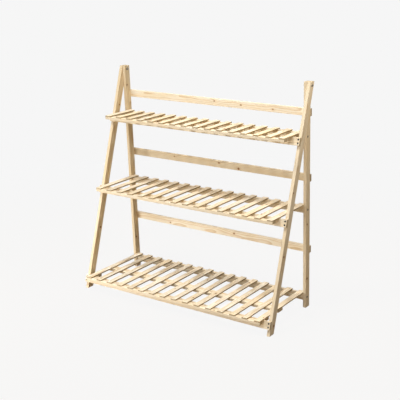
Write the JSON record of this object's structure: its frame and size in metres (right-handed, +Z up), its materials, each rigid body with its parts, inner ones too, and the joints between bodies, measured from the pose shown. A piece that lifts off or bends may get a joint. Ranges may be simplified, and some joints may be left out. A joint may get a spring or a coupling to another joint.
{
  "type": "folding tiered plant stand",
  "caption": "Folding plant stand: two leaning leg frames bolted together at the top carry three slatted shelves, each deeper than the one above, that hinge up between the rear legs.",
  "frame": {"origin": "centre of the base of the bounding box, on the floor", "axes": "+X along the shelves to the right as seen from the front, +Y to the back, +Z up"},
  "size_m": [0.967, 0.3961, 0.972],
  "materials": {
    "leg_wood": "satin",
    "board_wood": "satin",
    "slat_wood": "satin",
    "screw_steel": "black",
    "bolt_steel": "black",
    "zinc_steel": "zinc plated",
    "pin_steel": "plain"
  },
  "bodies": {
    "rear_frame": {"rear_leg_left": "leg_wood", "rear_leg_right": "leg_wood", "back_rail_upper": "board_wood", "back_rail_middle": "board_wood", "back_rail_lower": "board_wood", "back_rail_screws": "screw_steel", "fold_bolts": "bolt_steel", "fold_nuts": "zinc_steel", "fold_washers": "zinc_steel"},
    "front_frame": {"front_leg_left": "leg_wood", "front_leg_right": "leg_wood", "crossbar_upper": "board_wood", "crossbar_middle": "board_wood", "crossbar_lower": "board_wood", "crossbar_screws": "screw_steel"},
    "upper_shelf": {"upper_front_rail": "board_wood", "upper_rear_rail": "board_wood", "upper_slats": "slat_wood", "upper_slat_pins": "pin_steel", "upper_pivot_screws": "screw_steel", "upper_pivot_washers": "zinc_steel", "upper_stop_blocks": "board_wood"},
    "middle_shelf": {"middle_front_rail": "board_wood", "middle_rear_rail": "board_wood", "middle_slats": "slat_wood", "middle_slat_pins": "pin_steel", "middle_pivot_screws": "screw_steel", "middle_pivot_washers": "zinc_steel"},
    "lower_shelf": {"lower_front_rail": "board_wood", "lower_rear_rail": "board_wood", "lower_middle_rail": "board_wood", "lower_slats": "slat_wood", "lower_slat_pins": "pin_steel", "lower_pivot_screws": "screw_steel", "lower_pivot_washers": "zinc_steel", "lower_stop_blocks": "board_wood"}
  },
  "joints": [
    {"name": "front_frame_fold", "type": "hinge", "parent": "rear_frame", "child": "front_frame", "pos_m": [0, 0.13802, 0.958], "axis": [1, 0, 0], "range_deg": [0, 18]},
    {"name": "upper_shelf_lift", "type": "hinge", "parent": "rear_frame", "child": "upper_shelf", "pos_m": [0, 0.14294, 0.75], "axis": [-1, 0, 0], "range_deg": [0, 82]},
    {"name": "middle_shelf_lift", "type": "hinge", "parent": "rear_frame", "child": "middle_shelf", "pos_m": [0, 0.15998, 0.439], "axis": [-1, 0, 0], "range_deg": [0, 82]},
    {"name": "lower_shelf_lift", "type": "hinge", "parent": "rear_frame", "child": "lower_shelf", "pos_m": [0, 0.17448, 0.047], "axis": [-1, 0, 0], "range_deg": [0, 77]}
  ],
  "couplings": [
    {"joint": "upper_shelf_lift", "follows": "front_frame_fold", "ratio": 4.5555},
    {"joint": "middle_shelf_lift", "follows": "front_frame_fold", "ratio": 4.5555},
    {"joint": "lower_shelf_lift", "follows": "front_frame_fold", "ratio": 4.2777}
  ]
}
